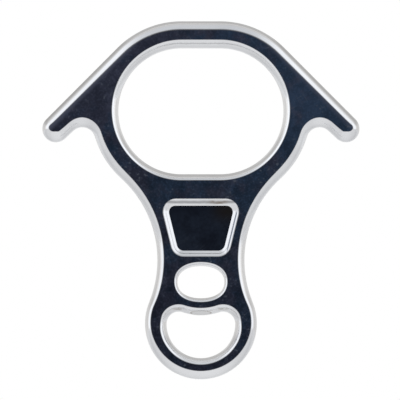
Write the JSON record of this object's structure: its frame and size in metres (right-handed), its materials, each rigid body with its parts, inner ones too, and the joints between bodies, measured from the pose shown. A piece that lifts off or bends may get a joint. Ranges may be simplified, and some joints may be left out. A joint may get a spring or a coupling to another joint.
{
  "type": "figure eight descender",
  "caption": "Forged aluminium rescue figure eight with a wide rope ring, hooked ears that stop the rope slipping, an oval hole and a lobed carabiner eye.",
  "frame": {"origin": "centre of the carabiner eye's round outer edge, at mid-thickness, inside the eye's opening", "axes": "+Z from the carabiner eye to the rope ring, +Y through the thickness from the marked front face to the back face, +X across the device from ear to ear"},
  "size_m": [0.1416, 0.012, 0.16],
  "materials": {
    "polished_aluminium": "mirror polished flat faces and bright rounded rims"
  },
  "bodies": {
    "root": {"descender_body": "polished_aluminium"}
  },
  "joints": []
}
